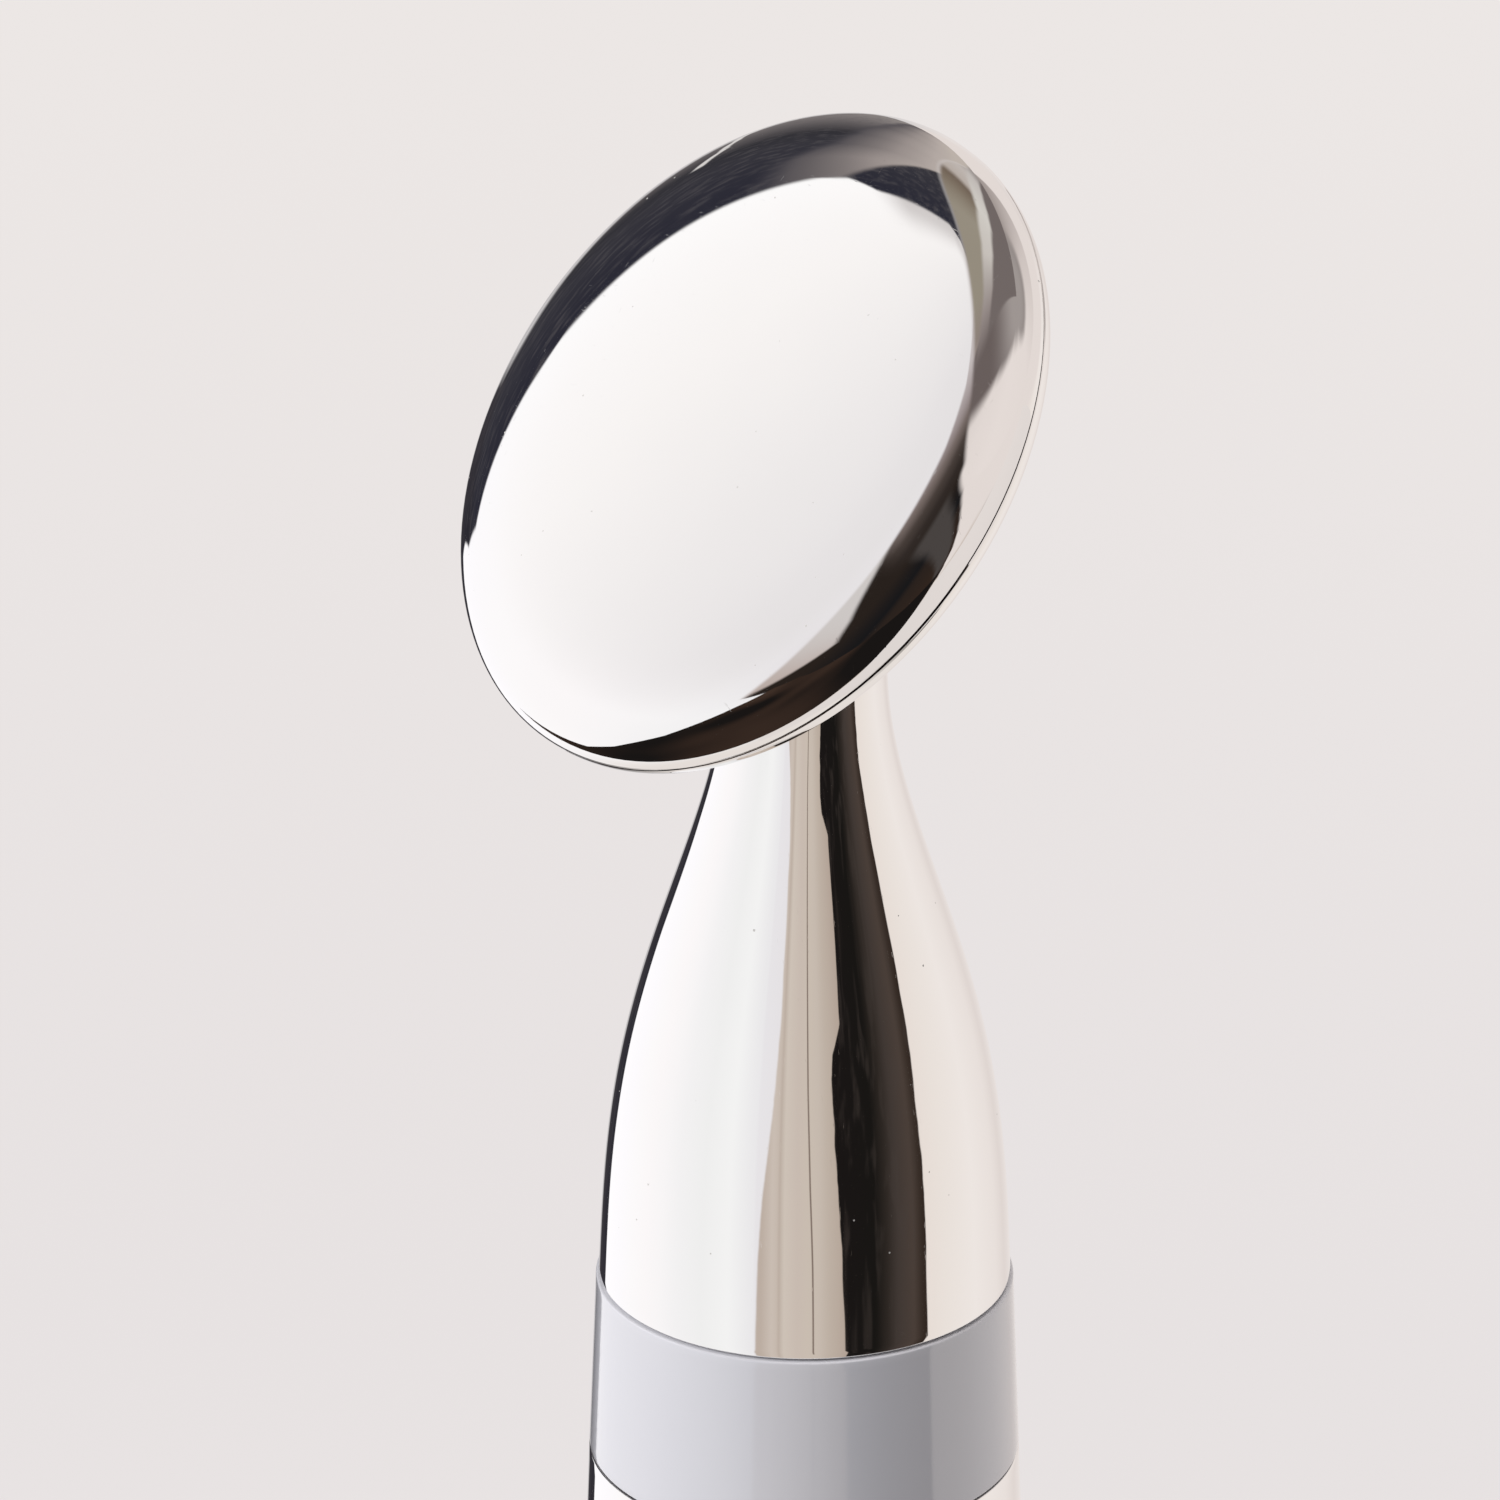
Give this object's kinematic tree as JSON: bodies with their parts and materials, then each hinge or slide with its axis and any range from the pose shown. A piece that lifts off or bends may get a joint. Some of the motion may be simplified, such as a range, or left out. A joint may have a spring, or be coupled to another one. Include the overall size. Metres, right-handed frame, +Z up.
{
  "type": "facial massage wand",
  "caption": "Battery-driven facial massage wand: tilted mirror-finish disc head on a slim neck, grey insulating collar, tubular handle with a screw cap to stand on.",
  "frame": {"origin": "centre of the end cap's flat underside, on the handle's axis", "axes": "+Z up the handle's axis towards the head; the disc's face looks along -Y and 39.5 degrees upwards; +X to the right seen from the front"},
  "size_m": [0.0368, 0.0283, 0.1528],
  "materials": {
    "chrome_head": "mirror chrome over metal",
    "chrome_handle": "mirror chrome over metal",
    "grey_collar": "light grey, glossy",
    "gasket": "translucent silicone",
    "black_rubber": "satin black",
    "motor_steel": "drawn steel can",
    "plain_steel": "ground steel",
    "spring_steel": "nickel-plated spring steel",
    "weight_metal": "sintered heavy metal",
    "ferrite": "bonded ferrite",
    "nylon": "off-white moulding",
    "carbon": "carbon brush",
    "bronze": "sintered bronze",
    "copper": "copper and enamelled wire",
    "brass": "bright brass",
    "red_insulation": "PVC insulation",
    "black_insulation": "PVC insulation",
    "liner_plastic": "natural plastic sleeve",
    "cell_sleeve": "plain printed cell sleeve, no lettering"
  },
  "bodies": {
    "wand": {"massage_plate": "chrome_head", "head_shell": "chrome_head", "plate_gasket": "gasket", "insulating_core": "grey_collar", "upper_o_ring": "black_rubber", "lower_o_ring": "black_rubber", "motor_sleeve": "black_rubber", "motor_can": "motor_steel", "motor_magnet": "ferrite", "motor_end_bell": "nylon", "motor_terminal_positive": "brass", "motor_terminal_negative": "brass", "brush_positive": "carbon", "brush_negative": "carbon", "shaft_bearing": "bronze", "positive_contact": "brass", "ground_ring": "spring_steel", "positive_lead": "red_insulation", "negative_lead": "black_insulation", "handle_tube": "chrome_handle", "battery_liner": "liner_plastic", "battery_cell": "cell_sleeve", "battery_terminal": "plain_steel"},
    "rotor": {"motor_shaft": "plain_steel", "armature_core": "copper", "commutator": "copper", "eccentric_weight": "weight_metal"},
    "cap_carrier": {"spring_plate": "brass", "contact_spring": "spring_steel"},
    "cap": {"end_cap": "chrome_handle", "cap_o_ring": "black_rubber"}
  },
  "joints": [
    {"name": "rotor_spin", "type": "hinge", "parent": "wand", "child": "rotor", "pos_m": [0, 0, 0.086], "axis": [0, 0, 1], "continuous": true},
    {"name": "cap_travel", "type": "slide", "parent": "wand", "child": "cap_carrier", "axis": [0, 0, -1], "range_m": [0, 0.0052]},
    {"name": "cap_turn", "type": "hinge", "parent": "cap_carrier", "child": "cap", "pos_m": [0, 0, 0.0123], "axis": [0, 0, -1], "range_deg": [0, 1440]}
  ],
  "couplings": [
    {"joint": "cap_travel", "follows": "cap_turn", "m_per_rad": 0.0002069}
  ]
}
